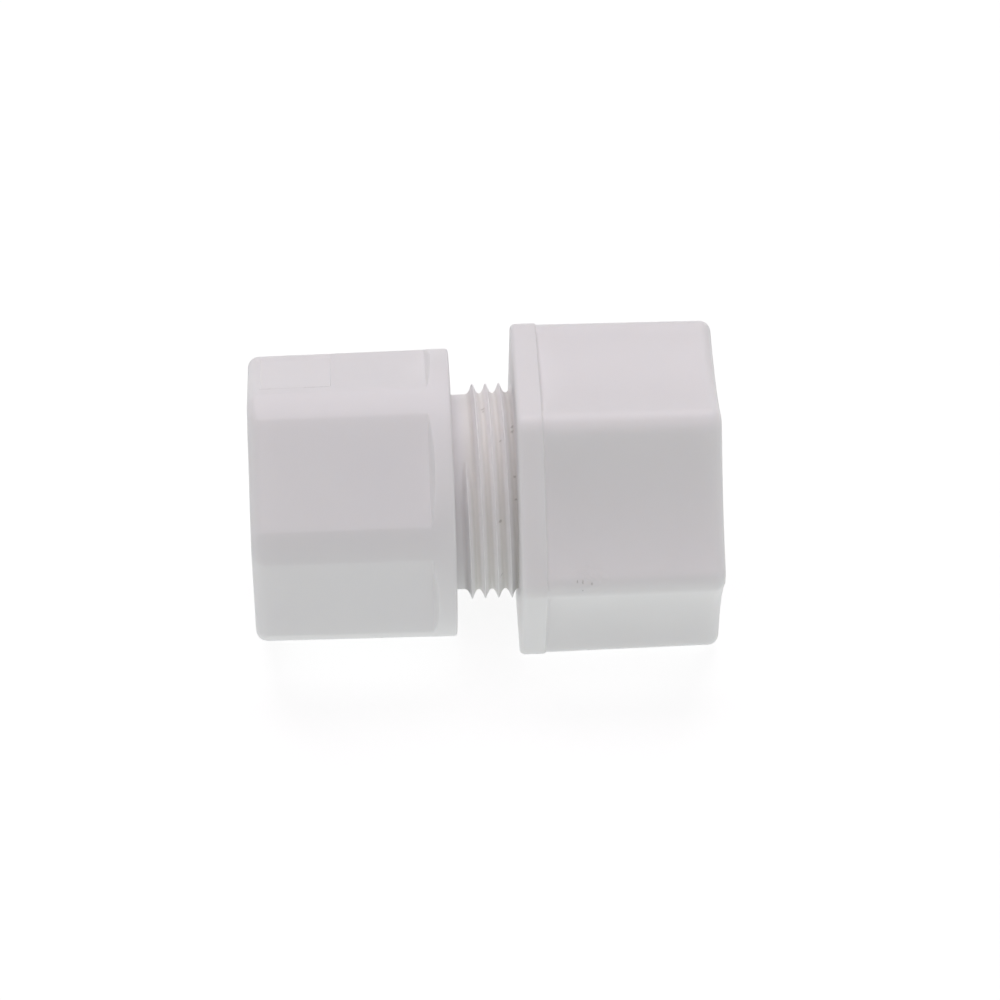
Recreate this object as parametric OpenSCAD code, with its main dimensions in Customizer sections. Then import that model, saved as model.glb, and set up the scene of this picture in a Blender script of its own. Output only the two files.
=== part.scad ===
// Female tube connector: a plastic compression fitting that joins a tube to a male pipe thread.
// The connector body has a tapped hexagonal port and a threaded stub. The nut screws onto the
// stub and drives a sleeve and a split gripper ring onto the tube.
// The axis lies along X with the port's mouth at the origin, facing +X, and +Z is up.

/* [Tube way] */
// Outside diameter of the tube
tube_d = 12.7; // [11.5:0.1:13.2]
// Radial clearance round the tube in the body, the sleeve and the gripper ring
tube_gap = 0.1; // [0.05:0.01:0.2]
// Extra radial clearance round the tube in the nut's end wall
entry_gap = 0.1; // [0:0.01:0.3]
// Diameter of the flow hole between the tube's stop and the port
flow_d = 9.6; // [7:0.1:11]
// Thickness of the tube's stop, between the socket and the port's drilled end
stop_wall = 1.5; // [0.8:0.1:4]

/* [Pipe port] */
// Diameter of the port's tapping bore
port_bore_d = 18.26; // [16:0.01:19]
// Depth of the tapping bore
port_depth = 14; // [12:0.1:15.5]
// Depth of the chamfer at the port's mouth
port_chamfer = 0.5; // [0.3:0.1:1]

/* [Body hexagon] */
// Size across the flats
body_af = 28.2; // [26.5:0.1:31]
// Length of the hexagon, without its flange
hex_l = 16.75; // [16:0.05:21]
// Radius of the hexagon's six corners
corner_r = 1.9; // [1:0.1:3]
// How far each side of the hexagon is hollowed at its middle
side_dish = 0.95; // [0:0.05:1.1]
// Draft of each side of the hexagon, in degrees
body_draft = 0.5; // [0:0.1:1.5]
// Rounding of the port end's edge
port_edge_r = 0.8; // [0.3:0.1:1.2]

/* [Flange] */
// Thickness of the flange
flange_l = 2.45; // [1.5:0.05:4]
// How far the flange stands out past the hexagon
flange_step = 0.12; // [0.05:0.01:0.5]
// Rounding of the flange's outer edge
flange_edge_r = 0.5; // [0.2:0.1:0.8]

/* [Stub] */
// Thickness of the stub's wall between the tube and its thread
stub_wall = 2.95; // [2.5:0.05:3.3]
// Pitch of the stub's thread
thread_pitch = 1.27; // [1:0.01:1.5]
// Length of the stub's thread
thread_l = 4.8; // [4:0.1:7]
// Length of the plain pilot past the thread
pilot_l = 5; // [4.5:0.1:7]
// Thickness of the pilot's wall at the rim of its seat
tip_wall = 1; // [0.6:0.05:1.4]
// Angle of the seat against the axis
seat_angle = 30; // [20:1:40]
// Angle about the axis at which the stub's thread begins
thread_start = 211; // [0:1:359]

/* [Nut] */
// How far the nut's round collar stays inside the flange's flats
nut_inset = 0.3; // [0:0.05:0.6]
// Depth of the nut's flats below its round collar
flat_cut = 1.1; // [0.7:0.05:1.4]
// Length of the round collar
collar_l = 1.9; // [1:0.1:4]
// Length of the ramps between the flats and the collar
ramp_l = 0.8; // [0.2:0.1:2]
// Draft of the nut's outside, in degrees
nut_draft = 0.5; // [0:0.1:1]
// Rounding of the flats at the nut's outer end
nut_edge_r = 1.25; // [0.5:0.05:1.6]
// Rounding of the corners at the nut's outer end
nut_corner_r = 1; // [0.5:0.05:1.6]
// Rounding of the collar's edge
collar_edge_r = 0.25; // [0.1:0.05:0.5]
// Thickness of the nut's end wall
nut_wall = 3.2; // [2:0.1:5]
// Radial play of the nut's thread on the stub
thread_gap = 0.1; // [0.06:0.01:0.14]
// Length of the nut's thread
nut_thread_l = 6.5; // [5.5:0.1:7.5]
// Gap between the nut and the flange, as the nut sits now
nut_gap = 6; // [5.2:0.1:8]
// Gap between the nut and the flange when the nut is tight
tight_gap = 1.3; // [0.5:0.1:2.5]
// Turn of the nut's flats against the body's, in degrees
nut_turn = 43.3; // [0:0.1:59.9]

/* [Sleeve and gripper ring] */
// Length of the sleeve's collar
sleeve_l = 1.8; // [1:0.1:3]
// Thickness of the sleeve's lip at its nose
lip = 0.35; // [0.2:0.05:0.6]
// Radial play of the sleeve's collar in the nut
sleeve_gap = 0.3; // [0.1:0.05:0.5]
// Stand-off between the sleeve's collar and the stub's tip when tight
nose_stand = 0.4; // [0.2:0.05:1]
// Length of the gripper ring
gripper_l = 5; // [4:0.1:6.5]
// Length of the gripper ring's straight front part
gripper_front = 1.2; // [0.8:0.1:2]
// Radial play of the gripper ring's front part in the nut
gripper_gap = 0.4; // [0.2:0.05:0.6]
// Angle of the gripper ring's cone against the axis
gripper_angle = 22; // [15:1:24]
// Depth of the gripper ring's teeth
tooth_depth = 0.45; // [0.2:0.05:0.5]
// Number of teeth along the gripper ring
teeth = 4; // [2:1:6]
// Width of the slot that splits the gripper ring
slot_w = 1.4; // [0.8:0.1:2.5]
// Play along the axis between the loose rings and what holds them
ring_gap = 0.15; // [0.1:0.05:0.3]

/* [Hidden] */
$fn = 96;

// Steps of a thread's helix in one turn
columns = 48;
// Half angle of the threads' flanks
flank = 30;
// Widths of a thread's flat crest and root, as parts of its pitch
crest_part = 1 / 16;
root_part = 1 / 10;
// How far a thread's ends are sunk below the surface that they run out of
sink = 0.15;
// How far the root of a tap lies inside the bore that it cuts into
foot = 0.04;
// Length of helix over which the stub's thread rises, in degrees
run_in = 30;
// Length of helix over which the nut's thread dies away, in degrees
run_out = 120;
// Overshoot of a cut past the face it opens
past = 1;
// Depth of the small lead-in chamfers
chamfer = 0.8;
// Points on half of a hexagon's side, and steps round one of its corners
side_steps = 4;
corner_steps = 6;
// Steps round a moulded edge
edge_steps = 4;
// Steps round the nut's rounded edges
nut_steps = 5;

// Places along the axis, all from the port's mouth
flange_z = -(hex_l + flange_l);
start_z = flange_z - thread_l;
tip_z = start_z - pilot_l;
drill_z = -port_depth - (port_bore_d - flow_d) / 2 * tan(30);
stop_z = drill_z - stop_wall;
mouth_z = flange_z - nut_gap;
nut_travel = nut_gap - tight_gap;
sleeve_z = tip_z - nose_stand - nut_travel;
sleeve_back_z = sleeve_z - sleeve_l;
gripper_z = sleeve_back_z - ring_gap;
gripper_back_z = gripper_z - gripper_l;
shoulder_z = gripper_back_z - ring_gap;
nut_end_z = shoulder_z - nut_wall;

// Radii
tube_r = tube_d / 2 + tube_gap;
entry_r = tube_r + entry_gap;
root_r = tube_r + stub_wall;
thread_r = root_r + thread_pitch * (1 - crest_part - root_part) / 2 / tan(flank);
pilot_r = root_r - 0.05;
seat_r = pilot_r - tip_wall;
nut_bore_r = root_r + thread_gap;
sleeve_r = nut_bore_r - sleeve_gap;
gripper_r = nut_bore_r - gripper_gap;
collar_r = body_af / 2 - nut_inset;
flat_r = collar_r - flat_cut;

// A point turned about the axis
function turned(p, angle) = [
    p.x * cos(angle) - p.y * sin(angle),
    p.x * sin(angle) + p.y * cos(angle)
];

// Outline of a hexagon with rounded corners, each side hollowed by dish at its middle
function hex_outline(apothem, r, dish) =
    let (
        corner = (apothem - r) / cos(30),
        lean = 2 * atan(2 * dish / corner),
        side_x = apothem - dish,
        rise = dish - r * (1 - cos(lean)),
        half = corner / 2 - r * sin(lean)
    )
    [for (side = [0:5]) each concat(
        [for (s = [-side_steps:side_steps]) let (t = s / side_steps)
            turned([side_x + rise * t * t, half * t], 60 * side)],
        [for (s = [1:corner_steps - 1]) let (a = -lean + (60 + 2 * lean) * s / corner_steps)
            turned([corner * cos(30) + r * cos(a), corner / 2 + r * sin(a)], 60 * side)]
    )];

// The same outline as a ring of points at one height
function hex_ring(z, apothem, r, dish) = [for (p = hex_outline(apothem, r, dish)) [p.x, p.y, z]];

// Solid skin over a stack of rings that have the same number of points, closed by flat fans
module loft(rings) {
    count = len(rings[0]);
    last = len(rings) - 1;
    low = len(rings) * count;
    sides = [for (k = [0:last - 1], j = [0:count - 1]) let (n = (j + 1) % count)
        [k * count + j, (k + 1) * count + j, (k + 1) * count + n, k * count + n]];
    fans = [for (j = [0:count - 1]) let (n = (j + 1) % count)
        each [[low, j, n], [low + 1, last * count + n, last * count + j]]];
    middles = [[0, 0, rings[0][0].z], [0, 0, rings[last][0].z]];
    polyhedron(points = concat([for (ring = rings) each ring], middles), faces = concat(sides, fans));
}

// Rod with one right-hand ridge round it, for the stub's thread or for the tap that cuts the nut's.
// It spans from_z to to_z and a pitch more at each end. The ridge grows out of the radius base
// over rise degrees of helix, from the angle begin on, and its foot then lies on root.
module screw(from_z, to_z, root, crest, base, begin, rise) {
    side = (crest - root) * tan(flank);
    top = thread_pitch * crest_part;
    profile = [[-side - top / 2, root], [-top / 2, crest], [top / 2, crest], [side + top / 2, root]];
    k = len(profile);
    first = floor(helix_angle(from_z) / 360 * columns) - columns;
    steps = ceil((to_z - from_z) / thread_pitch + 2) * columns;
    function grown(a) = min(1, max(0, (a - begin) / rise));
    points = [for (s = [0:steps], p = profile) let (
            a = (first + s) * 360 / columns,
            r = base + (p.y - base) * grown(a)
        ) [r * cos(a), r * sin(a), helix_z(a) + p.x]];
    low = len(points);
    function at(s, i) = s * k + i;
    walls = [for (s = [0:steps - 1], i = [0:k - 2])
        [at(s, i), at(s, i + 1), at(s + 1, i + 1), at(s + 1, i)]];
    roots = [for (s = [0:steps - columns - 1])
        [at(s, k - 1), at(s + columns, 0), at(s + columns + 1, 0), at(s + 1, k - 1)]];
    low_rim = concat([for (s = [0:columns]) at(s, 0)], [for (i = [k - 1:-1:0]) at(0, i)]);
    high_rim = concat([for (s = [steps:-1:steps - columns]) at(s, k - 1)],
        [for (i = [0:k - 1]) at(steps, i)]);
    caps = concat(
        [for (j = [0:len(low_rim) - 2]) [low, low_rim[j], low_rim[j + 1]]],
        [for (j = [0:len(high_rim) - 2]) [low + 1, high_rim[j], high_rim[j + 1]]]
    );
    ends = [[0, 0, points[0].z], [0, 0, points[at(steps, 0)].z]];
    polyhedron(points = concat(points, ends), faces = concat(walls, roots, caps));
}

// Height of the ridge's crest at an angle of the helix, and the angle at a height. The stub and
// the nut share this helix, so their threads are in mesh.
function helix_z(angle) = start_z + (angle - thread_start) / 360 * thread_pitch;
function helix_angle(z) = thread_start + (z - start_z) / thread_pitch * 360;

// Everything is drawn standing on its axis and laid along X here
module laid() {
    rotate([0, 90, 0]) children();
}

// Outside of the body: the flange, then the hollow-sided hexagon up to the port's rounded end
module body_outside() {
    af = body_af / 2;
    hex_a = af - flange_step;
    function edge(i) = 90 * i / edge_steps;
    flange_in = [for (i = [0:edge_steps]) let (inset = flange_edge_r * (1 - sin(edge(i))))
        hex_ring(flange_z + flange_edge_r * (1 - cos(edge(i))), af - inset, corner_r - inset, 0)];
    flange_out = [hex_ring(-hex_l, af, corner_r, 0)];
    hexagon = [hex_ring(-hex_l, hex_a, corner_r, side_dish)];
    port_end = [for (i = [0:edge_steps]) let (
            z = port_edge_r * (sin(edge(i)) - 1),
            inset = port_edge_r * (1 - cos(edge(i))) + (hex_l + z) * tan(body_draft)
        ) hex_ring(z, hex_a - inset, corner_r - port_edge_r * (1 - cos(edge(i))), side_dish)];
    loft(concat(flange_in, flange_out, hexagon, port_end));
}

// Way through the body: the tube's seat and socket, its stop, the flow hole and the tapping bore
module body_way() {
    seat_depth = (seat_r - tube_r) / tan(seat_angle);
    rotate_extrude() polygon([
        [0, tip_z - past],
        [seat_r + past * tan(seat_angle), tip_z - past],
        [tube_r, tip_z + seat_depth],
        [tube_r, stop_z],
        [flow_d / 2, stop_z],
        [flow_d / 2, drill_z],
        [port_bore_d / 2, -port_depth],
        [port_bore_d / 2, -port_chamfer],
        [port_bore_d / 2 + port_chamfer + past, past],
        [0, past]
    ]);
}

module body() {
    color("whitesmoke") laid() difference() {
        union() {
            body_outside();
            rotate_extrude() polygon([
                [0, tip_z],
                [pilot_r - chamfer / 4, tip_z],
                [pilot_r, tip_z + chamfer / 4],
                [pilot_r, flange_z + flange_l / 2],
                [0, flange_z + flange_l / 2]
            ]);
            screw(from_z = start_z, to_z = flange_z, root = root_r, crest = thread_r,
                base = pilot_r - sink, begin = thread_start, rise = run_in);
        }
        body_way();
    }
}

// Points along a rounded edge about a centre, from one angle to another
function rounding(centre, r, from, to) =
    [for (i = [0:nut_steps]) let (a = from + (to - from) * i / nut_steps)
        centre + r * [cos(a), sin(a)]];

// Rounded outer edge of the nut, under a wall that has the radius r at a height z
function nut_end(r, z, edge_r) =
    let (middle_z = nut_end_z + edge_r)
    rounding(
        [r + (z - middle_z) * tan(nut_draft) - edge_r / cos(nut_draft), middle_z],
        edge_r, -90, nut_draft
    );

// Round blank of the nut, with its draft and its two rounded edges
module nut_blank() {
    middle = [collar_r - collar_edge_r, mouth_z - collar_edge_r];
    rotate_extrude() polygon(concat(
        [[0, nut_end_z]],
        nut_end(collar_r, middle.y, nut_corner_r),
        rounding(middle, collar_edge_r, 0, 90),
        [[0, mouth_z]]
    ));
}

// Two opposite flats with their rounded outer edges and their ramps up to the collar, as a long bar
module nut_flats() {
    flat_z = mouth_z - collar_l - ramp_l;
    slope = flat_cut / ramp_l;
    side = concat(nut_end(flat_r, flat_z, nut_edge_r), [
        [flat_r, flat_z],
        [flat_r + 2 * ramp_l * slope, flat_z + 2 * ramp_l],
        [flat_r + 2 * ramp_l * slope, mouth_z + past]
    ]);
    rotate([90, 0, 0]) linear_extrude(height = 4 * collar_r, center = true)
        polygon(concat(side, [for (i = [len(side) - 1:-1:0]) [-side[i].x, side[i].y]]));
}

// Hollow of the nut: entry, gripper cone, chamber and thread bore, with its lead-in
module nut_hollow() {
    lead_r = thread_r + thread_gap + chamfer / 4;
    cone_gap = ring_gap / cos(gripper_angle);
    cone_z = gripper_z - gripper_front + (gripper_gap - cone_gap) / tan(gripper_angle);
    cone_end_r = nut_bore_r - (cone_z - shoulder_z) * tan(gripper_angle);
    rotate_extrude() polygon([
        [0, nut_end_z - past],
        [entry_r + chamfer + past, nut_end_z - past],
        [entry_r, nut_end_z + chamfer],
        [entry_r, shoulder_z],
        [cone_end_r, shoulder_z],
        [nut_bore_r, cone_z],
        [nut_bore_r, mouth_z - (lead_r - nut_bore_r)],
        [lead_r + past, mouth_z + past],
        [0, mouth_z + past]
    ]);
}

module compression_nut() {
    thread_end_z = mouth_z - nut_thread_l;
    color("white") laid() difference() {
        intersection() {
            nut_blank();
            intersection_for (pair = [0:2]) rotate(nut_turn + 60 * pair) nut_flats();
        }
        nut_hollow();
        screw(from_z = thread_end_z, to_z = mouth_z + past, root = nut_bore_r - foot,
            crest = thread_r + thread_gap, base = nut_bore_r - sink,
            begin = helix_angle(thread_end_z), rise = run_out);
    }
}

// Sealing sleeve: a tapered nose for the stub's seat, and a flat collar behind it
module sleeve() {
    nose_r = tube_r + lip;
    back_r = seat_r - ring_gap / 2 / cos(seat_angle) + nose_stand * tan(seat_angle);
    nose_l = (back_r - nose_r) / tan(seat_angle);
    color("ivory") laid() rotate_extrude() polygon([
        [tube_r, sleeve_back_z],
        [sleeve_r - chamfer / 4, sleeve_back_z],
        [sleeve_r, sleeve_back_z + chamfer / 4],
        [sleeve_r, sleeve_z],
        [back_r, sleeve_z],
        [nose_r, sleeve_z + nose_l],
        [tube_r, sleeve_z + nose_l]
    ]);
}

// Split gripper ring: sawtooth rings inside, and outside a cone that the nut closes on the tube
module gripper_ring() {
    back_r = gripper_r - (gripper_l - gripper_front) * tan(gripper_angle);
    tooth_l = gripper_l / teeth;
    bore = [for (i = [0:teeth - 1]) each [
        [tube_r + tooth_depth, gripper_back_z + tooth_l * i],
        [tube_r, gripper_back_z + tooth_l * (i + 0.8)],
        [tube_r, gripper_back_z + tooth_l * (i + 1)]
    ]];
    color("gainsboro") laid() difference() {
        rotate_extrude() polygon(concat(bore, [
            [gripper_r, gripper_z],
            [gripper_r, gripper_z - gripper_front],
            [back_r, gripper_back_z]
        ]));
        rotate(nut_turn) translate([0, -slot_w / 2, gripper_back_z - past])
            cube([gripper_r + past, slot_w, gripper_l + 2 * past]);
    }
}

body();
compression_nut();
sleeve();
gripper_ring();
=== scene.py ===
"""Looks of a female tube connector: a white plastic fitting that joins a tube to a male pipe thread."""

from math import asin, atan, ceil, cos, exp, floor, hypot, pi, radians, sin, sqrt, tan

import bmesh
import bpy
from mathutils import Matrix, Vector, noise


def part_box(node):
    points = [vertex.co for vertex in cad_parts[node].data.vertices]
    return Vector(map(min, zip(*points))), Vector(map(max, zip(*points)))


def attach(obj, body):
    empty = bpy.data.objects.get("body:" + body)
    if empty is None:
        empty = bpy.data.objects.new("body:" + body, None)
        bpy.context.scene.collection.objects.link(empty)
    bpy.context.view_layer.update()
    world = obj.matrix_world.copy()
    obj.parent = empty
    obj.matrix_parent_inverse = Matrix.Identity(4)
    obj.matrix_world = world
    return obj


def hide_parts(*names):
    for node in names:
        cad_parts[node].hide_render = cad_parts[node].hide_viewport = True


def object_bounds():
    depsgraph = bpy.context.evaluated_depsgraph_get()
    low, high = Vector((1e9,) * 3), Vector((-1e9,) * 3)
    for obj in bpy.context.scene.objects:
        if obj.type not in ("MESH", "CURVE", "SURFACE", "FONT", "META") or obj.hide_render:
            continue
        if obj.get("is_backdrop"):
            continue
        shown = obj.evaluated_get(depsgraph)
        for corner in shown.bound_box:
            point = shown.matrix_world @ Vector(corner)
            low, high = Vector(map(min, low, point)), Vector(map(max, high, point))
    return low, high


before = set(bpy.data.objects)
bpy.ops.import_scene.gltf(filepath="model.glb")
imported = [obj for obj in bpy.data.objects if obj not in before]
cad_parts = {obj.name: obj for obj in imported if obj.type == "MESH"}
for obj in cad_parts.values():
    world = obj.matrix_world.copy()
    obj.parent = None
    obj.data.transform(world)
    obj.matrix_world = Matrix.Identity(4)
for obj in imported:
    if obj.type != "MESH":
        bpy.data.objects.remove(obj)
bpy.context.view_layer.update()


# Connector body
# One moulding in white plastic. A hexagon with hollow sides holds the tapped port, a flange stops
# the wrench, and the threaded stub behind it takes the nut and guides the tube to its stop.

MM = 0.001
body_low, body_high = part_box("body")
port_x = body_high.x
tip_x = body_low.x
flange_a = (body_high.z - body_low.z) / 2
hex_a = flange_a - 0.12 * MM
corner_r = 1.9 * MM
side_dish = 0.95 * MM
body_draft = tan(radians(0.5))
port_edge_r = 1.05 * MM
flange_x = port_x - 19.2 * MM
step_x = flange_x + 2.45 * MM
flange_edge_r = 0.5 * MM
step_edge_r = 0.15 * MM
step_foot_r = 0.25 * MM

pitch = 1.27 * MM
thread_x = flange_x - 4.8 * MM
thread_angle = 121
crest_x = thread_x - pitch * thread_angle / 360
thread_r = 10.32 * MM
root_r = 9.4 * MM
pilot_r = 9.35 * MM
tip_chamfer = 0.2 * MM
seat_r = 8.35 * MM
seat_slope = tan(radians(30))

tube_r = 6.45 * MM
flow_r = 4.8 * MM
stop_x = port_x - 18 * MM
port_bore_r = 9.13 * MM
port_depth = 14 * MM
port_pitch = 1.814 * MM
port_thread_l = 11.6 * MM
port_thread_r = 10.6 * MM
port_root_r = 9.1 * MM
port_taper = 1 / 32

gate_x = port_x - 13.2 * MM
gate_angle = 176
gate_r = 0.85 * MM
gate_depth = 0.24 * MM
gate_grain = 0.35 * MM
gate_squeeze = 0.5
parting_step = 0.1 * MM
parting_blend = 10

# Painted shade: the thread's roots are darkened within this height of the root, partly for real dust
# and partly as painted shade in the hollows
dust_and_shade_height = 0.5 * MM
painted_stub_end = 0.5 * MM
root_dust_and_shade = (0.83, 0.825, 0.8, 1)
# Painted light: the whole threaded stub is painted in this lighter colour, as if it were lit more
# brightly than the rest of the body
stub_painted_light = (0.95, 0.935, 0.935, 1)
speck_colour = (0.2, 0.18, 0.15, 1)
speck_strength = 0.42
specks = (
    (-22.14, 87.4, 0.17),
    (-22.1, 89.8, 0.12),
    (-19.46, 103.7, 0.15),
    (-19.48, 107.1, 0.16),
    (-20.62, 113.4, 0.12),
    (-19.45, 135.1, 0.14),
    (-19.39, 148.2, 0.12),
    (-20.91, 160.4, 0.16),
    (-20.89, 198.7, 0.13),
    (-14.01, 177.1, 0.08),
    (-13.49, 177.4, 0.09),
    (-12.64, 178, 0.09),
    (-13.5, 180.4, 0.08),
)


def sector_angles(first, marks, steps):
    """Angles round the axis in degrees: the same marks, with steps between them, in six sectors."""
    sector = [a + (b - a) * i / n for a, b, n in zip(marks, marks[1:], steps) for i in range(n)]
    return [first + 60 * k + a for k in range(6) for a in sector] + [first + 360 + marks[0]]


def ring(angles, x, radius):
    """A row of points round the axis. The radius is a number or a function of the angle."""
    reach = radius if callable(radius) else lambda angle: radius
    return [
        Vector((x, reach(a) * cos(radians(a)), reach(a) * sin(radians(a)))) for a in angles
    ]


def helix_rows(angles, x_from, x_to, radius, crest, lead, steps):
    """Rows that climb with a right-hand helix, cut off square at both ends."""
    turns = [a / 360 for a in angles]
    first = floor((x_from - crest) / lead - turns[-1])
    count = ceil((x_to - crest) / lead - turns[0]) - first + 1
    rows = []
    for row in range(count * steps + 1):
        places = [crest + lead * (t + first + (row + 0.5) / steps) for t in turns]
        rows.append([
            Vector((min(max(x, x_from), x_to), radius * cos(2 * pi * t), radius * sin(2 * pi * t)))
            for x, t in zip(places, turns)
        ])
    return rows


def spread(start, end, count):
    """Evenly spaced numbers from start to end."""
    return [start + (end - start) * i / count for i in range(count + 1)]


def hex_reach(angle, apothem, corner, dish):
    """Distance from the axis to a hexagon with round corners and sides that are hollow by dish."""
    off = abs((angle % 60) - 30)
    middle = (apothem - corner) / cos(radians(30))
    lean = 2 * atan(2 * dish / middle)
    side = apothem - dish
    rise = dish - corner * (1 - cos(lean))
    half = middle / 2 - corner * sin(lean)
    slope = tan(radians(off))
    if slope * (side + rise) > half:
        gap = radians(30 - off)
        return middle * cos(gap) + sqrt(corner**2 - (middle * sin(gap)) ** 2)
    if slope * rise < 1e-9:
        return side / cos(radians(off))
    t = (half - sqrt(half**2 - 4 * rise * side * slope**2)) / (2 * rise * slope)
    return hypot(side + rise * t * t, half * t)


def placed(name, mesh):
    """Put a mesh into the scene as an object of that name."""
    piece = bpy.data.objects.new(name, mesh)
    bpy.context.scene.collection.objects.link(piece)
    return piece


def skin(name, rows):
    """Closed mesh over rows of points, of which the last row joins the first."""
    shell = bmesh.new()
    grid = [[shell.verts.new(p) for p in row] for row in rows]
    for low, high in zip(grid, grid[1:] + grid[:1]):
        for i in range(len(low) - 1):
            shell.faces.new((low[i], low[i + 1], high[i + 1], high[i]))
    bmesh.ops.remove_doubles(shell, verts=shell.verts, dist=1e-7)
    bmesh.ops.dissolve_degenerate(shell, edges=shell.edges, dist=1e-8)
    bmesh.ops.recalc_face_normals(shell, faces=shell.faces)
    mesh = bpy.data.meshes.new(name)
    shell.to_mesh(mesh)
    shell.free()
    return placed(name, mesh)


def soften(piece, limit=36):
    """Smooth shading, with a crisp line wherever two faces meet at more than limit degrees."""
    shell = bmesh.new()
    shell.from_mesh(piece.data)
    for face in shell.faces:
        face.smooth = True
    for edge in shell.edges:
        edge.smooth = edge.calc_face_angle(0) < radians(limit)
    shell.to_mesh(piece.data)
    shell.free()


def sum_node(tree, operation, *values):
    """Add a node of arithmetic on numbers or other nodes' outputs, and give its result."""
    node = tree.nodes.new("ShaderNodeMath")
    node.operation = operation
    for socket, value in zip(node.inputs, values):
        if isinstance(value, bpy.types.NodeSocket):
            tree.links.new(value, socket)
        else:
            socket.default_value = value
    return node.outputs[0]


def thread_tree():
    """Node tree that raises a right-hand thread on the plain round stretch of a mesh."""
    tree = bpy.data.node_groups.new("right_hand_thread", "GeometryNodeTree")
    tree.interface.new_socket("Geometry", in_out="OUTPUT", socket_type="NodeSocketGeometry")
    tree.interface.new_socket("Geometry", in_out="INPUT", socket_type="NodeSocketGeometry")
    for name in (
        "Start", "End", "Plain radius", "Crest place", "Pitch", "Top radius", "Foot radius",
        "Base radius", "Hollow", "Tip rounding", "Taper", "Begins at", "Rise length", "Mouth radius",
    ):
        tree.interface.new_socket(name, in_out="INPUT", socket_type="NodeSocketFloat")
    tree.interface.new_socket("Material", in_out="INPUT", socket_type="NodeSocketMaterial")
    given = tree.nodes.new("NodeGroupInput").outputs
    half_ridge = 0.46
    flank_width = 0.43
    foot_rounding = 0.12

    def calc(operation, *values):
        return sum_node(tree, operation, *values)

    place = tree.nodes.new("GeometryNodeInputPosition")
    parts = tree.nodes.new("ShaderNodeSeparateXYZ")
    tree.links.new(place.outputs[0], parts.inputs[0])
    x, y, z = parts.outputs
    reach = calc("SQRT", calc("ADD", calc("MULTIPLY", y, y), calc("MULTIPLY", z, z)))
    turn = calc("DIVIDE", calc("ARCTAN2", z, y), 2 * pi)

    # Which ridge a point lies on, and how far from its crest, in pitches
    past = calc("SUBTRACT", x, given["Crest place"])
    along = calc("SUBTRACT", calc("DIVIDE", past, given["Pitch"]), turn)
    ridge = calc("ROUND", along)
    away = calc("ABSOLUTE", calc("SUBTRACT", along, ridge))
    flank = calc("DIVIDE", calc("SUBTRACT", half_ridge, away), flank_width)
    flank = calc("SMOOTH_MIN", flank, 1, given["Tip rounding"])
    flank = calc("SMOOTH_MAX", flank, 0, foot_rounding)
    height = calc("POWER", flank, given["Hollow"])

    # The ridge grows out of the plain surface along its first stretch
    crest = calc("MULTIPLY_ADD", calc("ADD", turn, ridge), given["Pitch"], given["Crest place"])
    grown = calc("DIVIDE", calc("SUBTRACT", crest, given["Begins at"]), given["Rise length"])
    grown = calc("MINIMUM", calc("MAXIMUM", grown, 0), 1)
    narrowing = calc("MULTIPLY", calc("SUBTRACT", given["End"], x), given["Taper"])
    depth = calc("SUBTRACT", given["Top radius"], given["Foot radius"])
    level = calc("SUBTRACT", calc("MULTIPLY_ADD", height, depth, given["Foot radius"]), narrowing)
    level = calc("SUBTRACT", level, given["Base radius"])
    level = calc("MULTIPLY_ADD", level, grown, given["Base radius"])
    mouth = calc("SUBTRACT", given["Mouth radius"], calc("SUBTRACT", given["End"], x))
    level = calc("MAXIMUM", calc("MAXIMUM", level, given["Plain radius"]), mouth)

    scale = calc("DIVIDE", level, reach)
    moved = tree.nodes.new("ShaderNodeCombineXYZ")
    tree.links.new(x, moved.inputs[0])
    tree.links.new(calc("MULTIPLY", y, scale), moved.inputs[1])
    tree.links.new(calc("MULTIPLY", z, scale), moved.inputs[2])
    started = calc("GREATER_THAN", x, calc("SUBTRACT", given["Start"], 1e-6))
    going_on = calc("LESS_THAN", x, calc("ADD", given["End"], 1e-6))
    inside = calc("MULTIPLY", started, going_on)
    chosen = calc("MULTIPLY", inside, calc("COMPARE", reach, given["Plain radius"], 1e-5))

    shift = tree.nodes.new("GeometryNodeSetPosition")
    tree.links.new(given["Geometry"], shift.inputs["Geometry"])
    tree.links.new(chosen, shift.inputs["Selection"])
    tree.links.new(moved.outputs[0], shift.inputs["Position"])
    whole = tree.nodes.new("GeometryNodeRealizeInstances")
    tree.links.new(shift.outputs[0], whole.inputs[0])
    finish = tree.nodes.new("GeometryNodeSetMaterial")
    tree.links.new(whole.outputs[0], finish.inputs["Geometry"])
    tree.links.new(given["Material"], finish.inputs["Material"])
    end = tree.nodes.new("NodeGroupOutput")
    tree.links.new(finish.outputs[0], end.inputs[0])
    return tree


def cut_thread(piece, **sizes):
    """Run the thread tree on a piece with the sizes named, and keep the result as a plain mesh."""
    modifier = piece.modifiers.new("thread", "NODES")
    modifier.node_group = THREAD
    for item in THREAD.interface.items_tree:
        key = item.name.replace(" ", "_").lower()
        if item.in_out == "INPUT" and key in sizes:
            modifier[item.identifier] = sizes[key]
    graph = bpy.context.evaluated_depsgraph_get()
    mesh = bpy.data.meshes.new_from_object(piece.evaluated_get(graph))
    piece.modifiers.remove(modifier)
    piece.data = mesh


def shader(tree, kind, place, settings=None, **inputs):
    """Add a shader node and fill its inputs, each with a value or another node's output.

    An input is given by its name, or by its number after the letter i.
    """
    node = tree.nodes.new(kind)
    node.location = place
    for name, value in (settings or {}).items():
        setattr(node, name, value)
    for name, value in inputs.items():
        numbered = name[1:].isdigit()
        socket = node.inputs[int(name[1:]) if numbered else name.replace("_", " ")]
        if isinstance(value, bpy.types.NodeSocket):
            tree.links.new(value, socket)
        else:
            socket.default_value = value
    return node


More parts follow.
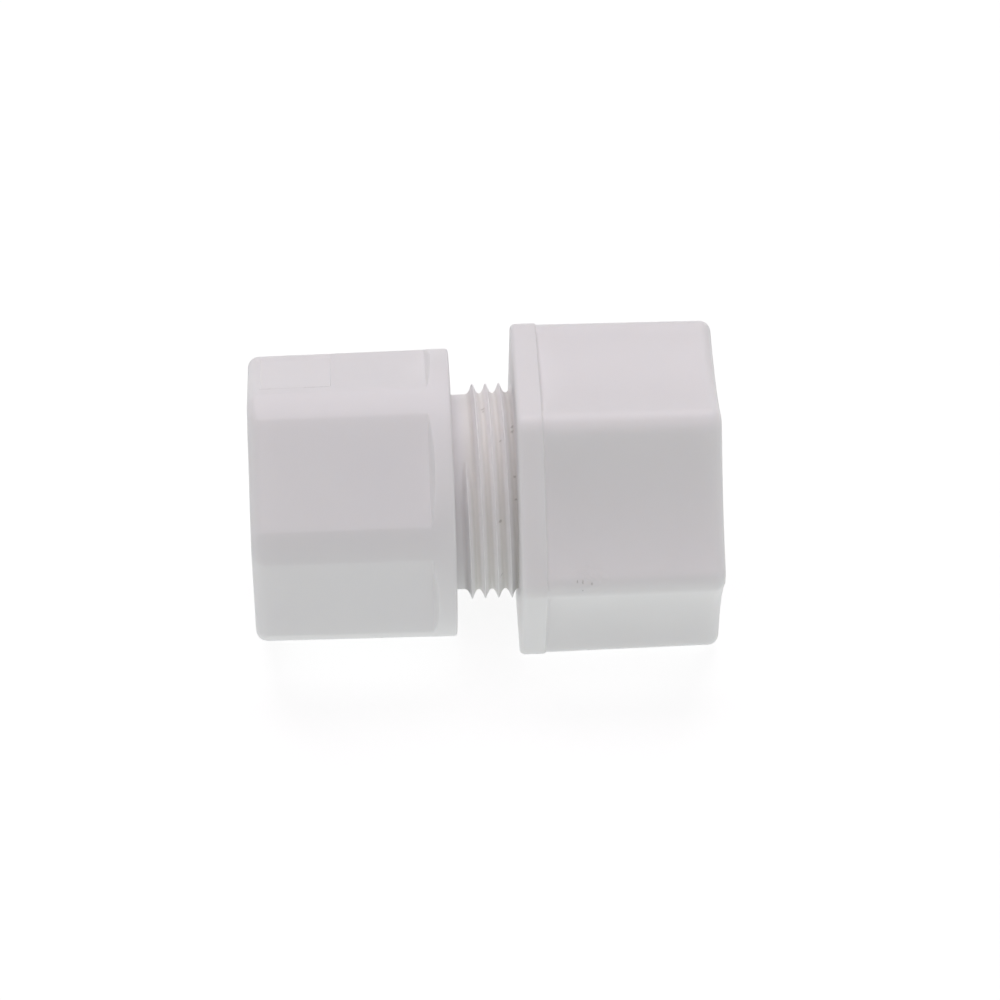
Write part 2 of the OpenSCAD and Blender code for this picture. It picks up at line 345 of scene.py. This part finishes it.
def white_plastic(name, colour, shade, seed, roughness=0.42):
    """Natural white moulded plastic: slightly milky, satin, with faint flow clouds and a fine grain."""
    material = bpy.data.materials.new(name)
    material.use_nodes = True
    tree = material.node_tree
    tree.nodes.clear()
    place = shader(tree, "ShaderNodeTexCoord", (-1200, 0)).outputs["Object"]
    offset = shader(tree, "ShaderNodeMapping", (-1000, 0), Vector=place, Location=(seed, 2 * seed, 0))
    clouds = shader(tree, "ShaderNodeTexNoise", (-800, 200), Vector=offset.outputs[0],
        Scale=110, Detail=3, Roughness=0.55)
    tone = shader(tree, "ShaderNodeMapRange", (-600, 200), Value=clouds.outputs[0],
        From_Min=0.3, From_Max=0.7)
    mix = shader(tree, "ShaderNodeMix", (-400, 200), {"data_type": "RGBA"},
        i0=tone.outputs[0], i6=colour, i7=shade)
    grain = shader(tree, "ShaderNodeTexNoise", (-800, -100), Vector=offset.outputs[0],
        Scale=3600, Detail=2, Roughness=0.6)
    gloss = shader(tree, "ShaderNodeMapRange", (-600, -100), Value=grain.outputs[0],
        From_Min=0.3, From_Max=0.7, To_Min=roughness - 0.05, To_Max=roughness + 0.07)
    waves = shader(tree, "ShaderNodeTexNoise", (-800, -400), Vector=offset.outputs[0],
        Scale=420, Detail=3, Roughness=0.5)
    relief = sum_node(tree, "MULTIPLY_ADD", grain.outputs[0], 0.35, waves.outputs[0])
    bump = shader(tree, "ShaderNodeBump", (-400, -400), Height=relief,
        Strength=0.25, Distance=0.00004)
    surface = shader(tree, "ShaderNodeBsdfPrincipled", (-100, 0), Base_Color=mix.outputs[2],
        Roughness=gloss.outputs[0], Normal=bump.outputs[0], IOR=1.5)
    surface.inputs["Subsurface Weight"].default_value = 0.5
    surface.inputs["Subsurface Radius"].default_value = (1.0, 0.95, 0.9)
    surface.inputs["Subsurface Scale"].default_value = 2 * MM
    output = shader(tree, "ShaderNodeOutputMaterial", (200, 0))
    tree.links.new(surface.outputs[0], output.inputs["Surface"])
    return material


def nearness(tree, place, spot, inner, outer):
    """A value of 1 within inner of a spot, and 0 beyond outer."""
    away = shader(tree, "ShaderNodeVectorMath", (-1000, 600), {"operation": "DISTANCE"},
        i0=place, i1=spot)
    return shader(tree, "ShaderNodeMapRange", (-800, 600), Value=away.outputs["Value"],
        From_Min=inner, From_Max=outer, To_Min=1, To_Max=0).outputs[0]


def painted_light_and_soil(material):
    """Painted light on the threaded stub, dust and painted shade in its roots, the few specks of dirt
    there, and the rough patch at the gate.
    """
    tree = material.node_tree
    nodes = tree.nodes
    surface = nodes["Principled BSDF"]
    clean = surface.inputs["Base Color"].links[0].from_socket
    relief = nodes["Bump"].inputs["Height"].links[0].from_socket
    place = nodes["Texture Coordinate"].outputs["Object"]

    # Painted light and shade on the stub: the whole threaded stretch is painted lighter, and its roots
    # are painted darker, partly dust and partly painted shade; none on the plain end
    across = shader(tree, "ShaderNodeVectorMath", (-1200, 1000), {"operation": "MULTIPLY"},
        i0=place, i1=(0, 1, 1))
    reach = shader(tree, "ShaderNodeVectorMath", (-1000, 1000), {"operation": "LENGTH"},
        i0=across.outputs[0]).outputs["Value"]
    along = shader(tree, "ShaderNodeSeparateXYZ", (-1200, 1200), i0=place).outputs[0]
    low = shader(tree, "ShaderNodeMapRange", (-800, 1000), {"interpolation_type": "SMOOTHSTEP"},
        Value=reach, From_Min=root_r, From_Max=root_r + dust_and_shade_height, To_Min=1, To_Max=0)
    begun = shader(tree, "ShaderNodeMapRange", (-800, 1200), Value=along,
        From_Min=thread_x - painted_stub_end, From_Max=thread_x + painted_stub_end)
    short_of_flange = sum_node(tree, "LESS_THAN", along, flange_x - 0.02 * MM)
    stub = sum_node(tree, "MULTIPLY", begun.outputs[0], short_of_flange)
    root_dust_and_shade_mask = sum_node(tree, "MULTIPLY", low.outputs[0], stub)
    # Painted light: the whole threaded stub is mixed to a lighter colour, crests and roots alike
    lightened_stub = shader(tree, "ShaderNodeMix", (-400, 1000), {"data_type": "RGBA"},
        i0=stub, i6=clean, i7=stub_painted_light)
    # Roots darkened: partly dust, partly painted shade between the ridges
    dusted_and_shaded = shader(tree, "ShaderNodeMix", (-400, 800), {"data_type": "RGBA", "blend_type": "MULTIPLY"},
        i0=root_dust_and_shade_mask, i6=lightened_stub.outputs[2], i7=root_dust_and_shade)

    # Specks, a little ragged, measured as if they all lay on one plain cylinder
    stretch = sum_node(tree, "DIVIDE", root_r, reach)
    plain = shader(tree, "ShaderNodeCombineXYZ", (-1300, 700), i0=1, i1=stretch, i2=stretch)
    level = shader(tree, "ShaderNodeVectorMath", (-1300, 600), {"operation": "MULTIPLY"},
        i0=place, i1=plain.outputs[0])
    stir = shader(tree, "ShaderNodeTexNoise", (-1400, 500), Vector=place, Scale=5000, Detail=1)
    ragged = shader(tree, "ShaderNodeVectorMath", (-1200, 600), {"operation": "MULTIPLY_ADD"},
        i0=stir.outputs["Color"], i1=(0.0002, 0.0002, 0.0002), i2=level.outputs[0])
    spots = 0
    for x, angle, size in specks:
        spot = ring([angle], x * MM, root_r)[0] + Vector((0.0001, 0.0001, 0.0001))
        near = nearness(tree, ragged.outputs[0], spot, 0.3 * size * MM, 1.3 * size * MM)
        spots = sum_node(tree, "MAXIMUM", near, spots)
    soiled_and_shaded = shader(tree, "ShaderNodeMix", (-200, 800), {"data_type": "RGBA"},
        i0=sum_node(tree, "MULTIPLY", spots, speck_strength), i6=dusted_and_shaded.outputs[2], i7=speck_colour)
    tree.links.new(soiled_and_shaded.outputs[2], surface.inputs["Base Color"])

    # The gate was nipped off and left a rough patch
    gate = ring([gate_angle], gate_x, hex_a + 1.9 * MM)[0]
    gate.x *= gate_squeeze
    patch = shader(tree, "ShaderNodeVectorMath", (-1200, 300), {"operation": "MULTIPLY"},
        i0=place, i1=(gate_squeeze, 1, 1))
    torn = shader(tree, "ShaderNodeTexNoise", (-1000, 300), Vector=place, Scale=1500, Detail=4)
    near = nearness(tree, patch.outputs[0], gate, 0.6 * MM, 1.2 * MM)
    rough = sum_node(tree, "MULTIPLY", torn.outputs[0], near)
    whole = sum_node(tree, "MULTIPLY_ADD", rough, 30, relief)
    tree.links.new(whole, nodes["Bump"].inputs["Height"])


THREAD = thread_tree()
body_plastic = white_plastic("body_plastic", (0.875, 0.86, 0.865, 1), (0.86, 0.845, 0.85, 1), 0.3)
painted_light_and_soil(body_plastic)

body_angles = sector_angles(30, (-30, -29.8, -24.5, 24.5, 29.8, 30), (1, 8, 20, 8, 1))
drill_x = port_x - port_depth - (port_bore_r - flow_r) * tan(radians(30))
port_thread_x = port_x - port_thread_l


def body_reach(x, inset=0, corner=corner_r):
    """The hexagon's outline at a place along it, as a function of the angle, with its gate mark.

    The lower half of the mould sat back a little, which left a step along two opposite corners.
    """
    def reach(angle):
        below = (angle - 180) % 360
        below = min(below, 180 - below)
        step = parting_step * (1 - below / parting_blend) if 0.05 < below < parting_blend else 0
        r = hex_reach(angle, hex_a - inset, corner, side_dish) - step
        off = hypot((x - gate_x) * gate_squeeze, radians(angle - gate_angle) * r)
        if off > 1.7 * gate_r:
            return r
        rough = noise.fractal(Vector((x, radians(angle) * r, 0)) / gate_grain, 0.7, 2.0, 3)
        dent = exp(-((off / gate_r) ** 4)) * (0.55 + 0.45 * rough)
        rim = exp(-(((off - 1.1 * gate_r) / (0.25 * gate_r)) ** 2)) * 0.25 * (1 + rough)
        return r - gate_depth * max(0, dent - rim + 0.1)
    return reach


body_rows = []
for a in spread(0, 90, 6):
    x = port_x - port_edge_r * (1 - cos(radians(a)))
    inset = port_edge_r * (1 - sin(radians(a))) + (x - step_x) * body_draft
    corner = corner_r - port_edge_r * (1 - sin(radians(a)))
    body_rows.append(ring(body_angles, x, body_reach(x, inset, corner)))
hex_places = spread(port_x - port_edge_r, gate_x + 2.4 * MM, 14)[1:]
hex_places += spread(gate_x + 2.4 * MM, gate_x - 2.4 * MM, 30)[1:]
hex_places += spread(gate_x - 2.4 * MM, step_x + step_foot_r, 4)[1:]
for x in hex_places:
    body_rows.append(ring(body_angles, x, body_reach(x, (x - step_x) * body_draft)))


def flange_reach(inset):
    """The flange's flat-sided outline, drawn in by inset."""
    return lambda angle: hex_reach(angle, flange_a - inset, corner_r - inset, 0)


def foot_reach(x, swell):
    """The hexagon's outline where it swells out to meet the flange, but not past the flange."""
    side = body_reach(x, -swell)
    rim = flange_reach(step_edge_r)
    return lambda angle: min(side(angle), max(rim(angle), side(angle) - swell))


for a in spread(0, 90, 3)[1:]:
    x = step_x + step_foot_r * (1 - sin(radians(a)))
    body_rows.append(ring(body_angles, x, foot_reach(x, step_foot_r * (1 - cos(radians(a))))))
for a in spread(90, 0, 3):
    x = step_x - step_edge_r * (1 - sin(radians(a)))
    body_rows.append(ring(body_angles, x, flange_reach(step_edge_r * (1 - cos(radians(a))))))
for a in spread(0, 90, 6):
    x = flange_x + flange_edge_r * (1 - sin(radians(a)))
    body_rows.append(ring(body_angles, x, flange_reach(flange_edge_r * (1 - cos(radians(a))))))
stub_rows = helix_rows(body_angles, thread_x - pitch / 2, flange_x, pilot_r, crest_x, pitch, 16)
body_rows += stub_rows[::-1]
for x, r in (
    (tip_x + tip_chamfer, pilot_r),
    (tip_x, pilot_r - tip_chamfer),
    (tip_x, seat_r + 0.08 * MM),
    (tip_x + 0.05 * MM, seat_r),
    (tip_x + (seat_r - tube_r) / seat_slope, tube_r),
    ((tip_x + stop_x) / 2, tube_r),
    (stop_x - 0.2 * MM, tube_r),
    (stop_x - 0.06 * MM, tube_r - 0.06 * MM),
    (stop_x, tube_r - 0.2 * MM),
    (stop_x, flow_r + 0.1 * MM),
    (stop_x + 0.1 * MM, flow_r),
    (drill_x - 0.1 * MM, flow_r),
    (drill_x + 0.05 * MM, flow_r + 0.1 * MM),
    (port_x - port_depth, port_bore_r),
):
    body_rows.append(ring(body_angles, x, r))
body_rows += helix_rows(
    body_angles, port_thread_x - port_pitch / 2, port_x, port_bore_r, port_x, port_pitch, 12
)

body = skin("connector_body", body_rows)
cut_thread(
    body, material=body_plastic, start=thread_x - pitch / 2, end=flange_x, plain_radius=pilot_r,
    crest_place=crest_x, pitch=pitch, top_radius=thread_r, foot_radius=root_r,
    base_radius=pilot_r - 0.15 * MM, hollow=1.8, tip_rounding=0.06, taper=0.0,
    begins_at=thread_x, rise_length=pitch / 12, mouth_radius=0.0,
)
cut_thread(
    body, material=body_plastic, start=port_thread_x - port_pitch / 2, end=port_x,
    plain_radius=port_bore_r, crest_place=port_x, pitch=port_pitch, top_radius=port_thread_r,
    foot_radius=port_root_r, base_radius=port_bore_r - 0.15 * MM, hollow=1.0,
    tip_rounding=0.12, taper=port_taper, begins_at=port_thread_x,
    rise_length=port_pitch / 2, mouth_radius=port_bore_r + 0.5 * MM,
)
soften(body)
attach(body, "body")
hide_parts("body")


# Compression nut
# One moulding in the same plastic: six flats that run up small ramps into a round collar, and a
# right-hand thread inside that carries it along the stub onto the two rings.

nut_low, nut_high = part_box("compression_nut")
nut_x = nut_low.x
mouth_x = nut_high.x
collar_r = flange_a - 0.3 * MM
flat_cut = 1.1 * MM
collar_l = 1.75 * MM
ramp_l = 0.5 * MM
nut_draft = tan(radians(0.5))
nut_edge_r = 1.25 * MM
nut_corner_r = 1 * MM
collar_edge_r = 0.25 * MM
nut_turn = -46.7
thread_gap = 0.1 * MM
nut_bore_r = root_r + thread_gap
nut_thread_l = 6.5 * MM
entry_r = 6.55 * MM
entry_chamfer = 0.8 * MM
shoulder_x = nut_x + 3.2 * MM
cone_x = -37.144 * MM
cone_slope = tan(radians(22))
lead_r = thread_r + thread_gap + 0.2 * MM

mark_flat = 73.3
mark_near = 17.5
mark_far = 19.6
mark_step = 0.3
mark_l = 6.65 * MM
mark_depth = 0.06 * MM
mark_groove = 0.12 * MM
mark_end_depth = 0.09 * MM
rough_l = 2.6 * MM
rough_waves = 4200
outer_r = 12.445 * MM

nut_angles = sector_angles(
    nut_turn,
    (
        -30, -23.7, -22.4, -mark_far - mark_step, -mark_far, mark_near - mark_step, mark_near,
        mark_near + mark_step, 22.4, 23.7, 30,
    ),
    (3, 3, 1, 1, 16, 1, 1, 4, 3, 3),
)
flat_x = mouth_x - collar_l - ramp_l
flat_r = collar_r - flat_cut
mark_from = nut_x + nut_edge_r
mark_to = mark_from + mark_l


def blend_min(a, b, width):
    """The smaller of two lengths, with a soft passage where they are within width of each other."""
    near = max(width - abs(a - b), 0) / width
    return min(a, b) - near * near * width / 4


def rounded_off(x, wall, edge_r):
    """Radius of a drafted wall at a place along it, with its outer edge rounded."""
    past = nut_x + edge_r - x
    wall += (x - flat_x) * nut_draft
    return wall if past <= 0 else wall - edge_r + sqrt(max(edge_r**2 - past**2, 0))


def nut_reach(x, dip=0, groove=0):
    """Outline of the nut at a place along it, as a function of the angle."""
    round_r = rounded_off(x, collar_r, nut_corner_r) if x < flat_x else collar_r
    flat = rounded_off(x, flat_r, nut_edge_r) if x < flat_x else flat_r
    ramp = flat_r + (x - flat_x) * flat_cut / ramp_l
    flat = -blend_min(-flat, -ramp, 0.12 * MM)

    def reach(angle):
        off = (angle - nut_turn + 30) % 60 - 30
        level = flat
        if abs(angle - off - mark_flat) < 1 and -mark_far - 0.01 < off < mark_near + 0.01:
            level -= groove if off > mark_near - 0.01 else dip
        return blend_min(round_r, level / cos(radians(off)), 0.1 * MM)
    return reach


nut_rows = []
for a in spread(90, 0, 4):
    x = mouth_x - collar_edge_r * (1 - sin(radians(a)))
    nut_rows.append(ring(nut_angles, x, collar_r - collar_edge_r * (1 - cos(radians(a)))))
for x in spread(mouth_x - collar_edge_r, mouth_x - collar_l + 0.1 * MM, 3)[1:]:
    nut_rows.append(ring(nut_angles, x, nut_reach(x)))
for x in spread(mouth_x - collar_l + 0.1 * MM, flat_x - 0.15 * MM, 14)[1:]:
    nut_rows.append(ring(nut_angles, x, nut_reach(x)))
for x in spread(flat_x - 0.15 * MM, mark_to + 0.08 * MM, 12)[1:]:
    nut_rows.append(ring(nut_angles, x, nut_reach(x)))
nut_rows.append(ring(nut_angles, mark_to, nut_reach(mark_to, mark_end_depth, mark_groove)))
for x in spread(mark_to - 0.08 * MM, mark_from + 0.08 * MM, 12):
    worn = 0.5 + 0.5 * sin(rough_waves * x) if x < mark_to - rough_l else 1
    nut_rows.append(ring(nut_angles, x, nut_reach(x, mark_depth, mark_depth + 0.06 * MM * worn)))
for a in spread(0, 90, 8):
    x = nut_x + nut_edge_r * (1 - sin(radians(a)))
    nut_rows.append(ring(nut_angles, x, nut_reach(x)))
for x, r in (
    (nut_x, entry_r + entry_chamfer),
    (nut_x + entry_chamfer, entry_r),
    (shoulder_x, entry_r),
    (shoulder_x, nut_bore_r - (cone_x - shoulder_x) * cone_slope),
    (cone_x, nut_bore_r),
):
    nut_rows.append(ring(nut_angles, x, r))
nut_rows += helix_rows(
    nut_angles, mouth_x - nut_thread_l - pitch / 2, mouth_x, nut_bore_r, crest_x, pitch, 16
)

nut_plastic = white_plastic("nut_plastic", (0.875, 0.86, 0.865, 1), (0.86, 0.845, 0.855, 1), 1.7)


def mark_line_dirt_and_shade(material):
    """Dirt, and painted shade, in the line along the near edge of the insert's mark."""
    tree = material.node_tree
    surface = tree.nodes["Principled BSDF"]
    clean = surface.inputs["Base Color"].links[0].from_socket
    place = tree.nodes["Texture Coordinate"].outputs["Object"]
    turned = shader(tree, "ShaderNodeMapping", (-1200, 700), Vector=place,
        Rotation=(-radians(mark_flat), 0, 0))
    x, height, across = shader(
        tree, "ShaderNodeSeparateXYZ", (-1000, 700), i0=turned.outputs[0]
    ).outputs
    outside = sum_node(tree, "GREATER_THAN", height, outer_r)
    line_place = flat_r * tan(radians(mark_near + mark_step / 2))
    off = sum_node(tree, "ABSOLUTE", sum_node(tree, "SUBTRACT", across, line_place))
    line = shader(tree, "ShaderNodeMapRange", (-600, 700), Value=off,
        From_Min=0.04 * MM, From_Max=0.16 * MM, To_Min=1, To_Max=0)
    broken = shader(tree, "ShaderNodeTexNoise", (-1000, 500), Vector=place, Scale=1600, Detail=2)
    uneven = shader(tree, "ShaderNodeMapRange", (-800, 500), Value=broken.outputs[0],
        From_Min=0.35, From_Max=0.6, To_Min=0.35, To_Max=1)
    # Painted shade: the line along the mark's step edge is painted dark, partly for dirt caught in it
    # and partly as the step's shade
    line_dirt_and_shade = 0
    for start, end, strength in (
        (mark_to - 2.5 * MM, mark_to, 0.5),
        (mark_from, mark_from + 1.1 * MM, 0.35),
        (mark_from, mark_to, 0.12),
    ):
        past = shader(tree, "ShaderNodeMapRange", (-600, 500), Value=x,
            From_Min=start - 0.1 * MM, From_Max=start + 0.1 * MM, To_Max=strength)
        short = shader(tree, "ShaderNodeMapRange", (-600, 300), Value=x,
            From_Min=end - 0.1 * MM, From_Max=end + 0.1 * MM, To_Min=1, To_Max=0)
        part = sum_node(tree, "MULTIPLY", past.outputs[0], short.outputs[0])
        line_dirt_and_shade = sum_node(tree, "MAXIMUM", part, line_dirt_and_shade)
    for factor in (line.outputs[0], uneven.outputs[0], outside):
        line_dirt_and_shade = sum_node(tree, "MULTIPLY", line_dirt_and_shade, factor)

    # The insert's own steel left a slightly lighter patch
    from_middle = sum_node(tree, "SUBTRACT", x, (mark_from + mark_to) / 2)
    lengthwise = sum_node(tree, "LESS_THAN", sum_node(tree, "ABSOLUTE", from_middle), mark_l / 2)
    crosswise = sum_node(tree, "LESS_THAN", across, flat_r * tan(radians(mark_near)))
    patch = sum_node(tree, "MULTIPLY", lengthwise, crosswise)
    patch = sum_node(tree, "MULTIPLY", patch, outside)
    patched = shader(tree, "ShaderNodeMix", (-200, 900), {"data_type": "RGBA"},
        i0=patch, i6=clean, i7=(0.895, 0.88, 0.885, 1))
    # Mix in the dark line: dirt and painted shade
    soiled_and_shaded = shader(tree, "ShaderNodeMix", (-200, 600), {"data_type": "RGBA"},
        i0=line_dirt_and_shade, i6=patched.outputs[2], i7=(0.2, 0.18, 0.17, 1))
    tree.links.new(soiled_and_shaded.outputs[2], surface.inputs["Base Color"])


mark_line_dirt_and_shade(nut_plastic)
nut = skin("compression_nut_shell", nut_rows)
cut_thread(
    nut, material=nut_plastic, start=mouth_x - nut_thread_l - pitch / 2, end=mouth_x,
    plain_radius=nut_bore_r, crest_place=crest_x, pitch=pitch, top_radius=thread_r + thread_gap,
    foot_radius=nut_bore_r - 0.04 * MM, base_radius=nut_bore_r - 0.15 * MM, hollow=1.8,
    tip_rounding=0.06, taper=0.0, begins_at=mouth_x - nut_thread_l, rise_length=pitch / 3,
    mouth_radius=lead_r,
)
soften(nut)
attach(nut, "nut")
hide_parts("compression_nut")


# Sealing sleeve
# A turned-looking moulded ring. Its tapered nose goes into the stub's seat and its collar is
# pushed by the gripper ring, so it seals round the tube.

sleeve_low, sleeve_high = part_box("sleeve")
sleeve_r = sleeve_high.z
sleeve_chamfer = 0.2 * MM
sleeve_face_x = sleeve_low.x + 1.8 * MM
nose_r = tube_r + 0.35 * MM
nose_back_r = nose_r + (sleeve_high.x - sleeve_face_x) * seat_slope


def break_edges(piece, width):
    """Break a piece's sharp edges with a small rounding."""
    bevel = piece.modifiers.new("edges", "BEVEL")
    bevel.width = width
    bevel.segments = 2
    bevel.limit_method = "ANGLE"
    bevel.angle_limit = radians(25)


sleeve_outline = (
    (sleeve_low.x, tube_r),
    (sleeve_low.x, sleeve_r - sleeve_chamfer),
    (sleeve_low.x + sleeve_chamfer, sleeve_r),
    (sleeve_face_x, sleeve_r),
    (sleeve_face_x, nose_back_r),
    (sleeve_high.x, nose_r),
    (sleeve_high.x, tube_r),
)
sleeve = skin("sealing_sleeve", [ring(spread(0, 360, 120), x, r) for x, r in sleeve_outline])
sleeve.data.materials.append(
    white_plastic("sleeve_plastic", (0.76, 0.74, 0.7, 1), (0.74, 0.72, 0.68, 1), 3.1, 0.36)
)
soften(sleeve, 25)
break_edges(sleeve, 0.06 * MM)
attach(sleeve, "rings")
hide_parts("sleeve")


# Gripper ring
# A springy plastic ring, split by one slot. Its saw teeth bite the tube when the nut's cone
# squeezes it shut.

gripper_low, gripper_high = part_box("gripper_ring")
gripper_r = 9.1 * MM
gripper_front = 1.2 * MM
gripper_slope = tan(radians(22))
tooth_depth = 0.45 * MM
teeth = 4
slot_half = 0.7 * MM

tooth_l = (gripper_high.x - gripper_low.x) / teeth
gripper_outline = []
for i in range(teeth):
    foot_x = gripper_low.x + tooth_l * i
    gripper_outline += [
        (foot_x, tube_r + tooth_depth),
        (foot_x + 0.8 * tooth_l, tube_r),
        (foot_x + tooth_l, tube_r),
    ]
gripper_outline += [
    (gripper_high.x, gripper_r),
    (gripper_high.x - gripper_front, gripper_r),
    (gripper_low.x, gripper_r - (gripper_high.x - gripper_front - gripper_low.x) * gripper_slope),
]
split = bmesh.new()
columns = []
for t in spread(0, 1, 96):
    column = []
    for x, r in gripper_outline:
        edge = asin(slot_half / r)
        a = radians(nut_turn) + edge + (2 * pi - 2 * edge) * t
        column.append(split.verts.new((x, r * cos(a), r * sin(a))))
    columns.append(column)
for low, high in zip(columns, columns[1:]):
    for i in range(len(low)):
        j = (i + 1) % len(low)
        split.faces.new((low[i], low[j], high[j], high[i]))
split.faces.new(columns[0])
split.faces.new(columns[-1])
bmesh.ops.recalc_face_normals(split, faces=split.faces)
gripper_mesh = bpy.data.meshes.new("split_gripper")
split.to_mesh(gripper_mesh)
split.free()
gripper = placed("split_gripper", gripper_mesh)
gripper.data.materials.append(
    white_plastic("gripper_plastic", (0.72, 0.71, 0.69, 1), (0.7, 0.69, 0.67, 1), 4.6, 0.38)
)
soften(gripper, 15)
break_edges(gripper, 0.05 * MM)
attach(gripper, "rings")
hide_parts("gripper_ring")


# Camera
# It looks at the fitting from the front and above, from half a metre away, turned a little about
# its own axis, as in the photograph.

azimuth = radians(-1.876)
elevation = radians(37.405)
roll = radians(-0.864)
distance = 500 * MM
look_x = -20.608 * MM
look_up = -0.921 * MM

back = Vector((
    sin(azimuth) * cos(elevation), -cos(azimuth) * cos(elevation), sin(elevation)
))
level_right = Vector((cos(azimuth), sin(azimuth), 0))
level_up = back.cross(level_right)
right = level_right * cos(roll) + level_up * sin(roll)
up = level_up * cos(roll) - level_right * sin(roll)
camera = bpy.data.objects.new("camera", bpy.data.cameras.new("camera"))
camera.data.lens = 187.5
camera.data.sensor_width = 36
camera.data.clip_start = 0.05
camera.matrix_world = Matrix.Translation(
    Vector((look_x, 0, 0)) + up * look_up + back * distance
) @ Matrix((right, up, back)).transposed().to_4x4()
bpy.context.scene.collection.objects.link(camera)
bpy.context.scene.camera = camera


# Floor and light
# White paper that passes light up from below and keeps the fitting's shadow, a weak even sky, two
# broad soft lights, one behind and above the fitting and one in front and above, and a small weak
# one at each end.

floor_z = body_low.z
sweep = bmesh.new()
bmesh.ops.create_grid(sweep, x_segments=1, y_segments=1, size=2)
bmesh.ops.translate(sweep, verts=sweep.verts, vec=(0, 0, floor_z))
floor_mesh = bpy.data.meshes.new("floor")
sweep.to_mesh(floor_mesh)
sweep.free()
ground = placed("floor", floor_mesh)
paper = bpy.data.materials.new("white_paper")
paper.use_nodes = True
tree = paper.node_tree
tree.nodes.clear()
path = shader(tree, "ShaderNodeLightPath", (-600, 200))
seen = sum_node(tree, "MAXIMUM", path.outputs["Is Camera Ray"], path.outputs["Is Glossy Ray"])
matt = shader(tree, "ShaderNodeBsdfDiffuse", (-400, 0), Color=(0.1, 0.1, 0.1, 1))
through = shader(tree, "ShaderNodeEmission", (-400, -200), Color=(0.96, 1, 0.985, 1), Strength=0.7)
lit = shader(tree, "ShaderNodeAddShader", (-200, 0), i0=matt.outputs[0], i1=through.outputs[0])
shadow = shader(tree, "ShaderNodeBsdfDiffuse", (-400, -400), Color=(0.9, 0.9, 0.9, 1))
glow = shader(tree, "ShaderNodeEmission", (-400, -600), Color=(1, 1, 1, 1), Strength=1.3)
pale = shader(tree, "ShaderNodeMixShader", (-200, -400), i0=0.6, i1=shadow.outputs[0],
    i2=glow.outputs[0])
both = shader(tree, "ShaderNodeMixShader", (0, 0), i0=seen, i1=lit.outputs[0],
    i2=pale.outputs[0])
output = shader(tree, "ShaderNodeOutputMaterial", (200, 0))
tree.links.new(both.outputs[0], output.inputs["Surface"])
floor_mesh.materials.append(paper)
ground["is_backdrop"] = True

world = bpy.data.worlds.new("sky")
bpy.context.scene.world = world
world.use_nodes = True
tree = world.node_tree
tree.nodes.clear()
path = shader(tree, "ShaderNodeLightPath", (-600, 200))
seen = sum_node(tree, "MAXIMUM", path.outputs["Is Camera Ray"], path.outputs["Is Glossy Ray"])
seen = sum_node(tree, "MAXIMUM", seen, path.outputs["Is Transmission Ray"])
even = shader(tree, "ShaderNodeBackground", (-200, 0), Color=(1, 0.965, 0.995, 1), Strength=0.18)
white = shader(tree, "ShaderNodeBackground", (-200, -200), Color=(1, 1, 1, 1), Strength=1)
both = shader(tree, "ShaderNodeMixShader", (0, 0), i0=seen, i1=even.outputs[0],
    i2=white.outputs[0])
output = shader(tree, "ShaderNodeOutputWorld", (200, 0))
tree.links.new(both.outputs[0], output.inputs["Surface"])


def soft_light(name, place, target, size, power, colour):
    """Square soft light that faces a target."""
    lamp = bpy.data.lights.new(name, "AREA")
    lamp.size = size
    lamp.energy = power
    lamp.color = colour
    holder = bpy.data.objects.new(name, lamp)
    holder.location = place
    holder.rotation_euler = (Vector(target) - Vector(place)).to_track_quat("-Z", "Y").to_euler()
    bpy.context.scene.collection.objects.link(holder)


for name, place, size, power, colour in (
    ("back_light", (-0.02, 0.371, 0.728), 0.7, 3.15, (1, 0.955, 0.99)),
    ("front_light", (-0.02, -0.469, 0.669), 0.7, 1.65, (1, 0.955, 0.99)),
    ("port_light", (0.58, -0.05, 0.04), 0.3, 0.42, (0.96, 1, 0.98)),
    ("nut_light", (-0.62, -0.05, 0.04), 0.3, 0.42, (0.98, 1, 0.99)),
):
    soft_light(name, place, (look_x, 0, 0), size, power, colour)

bpy.context.scene.view_settings.view_transform = "Standard"

low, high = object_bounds()
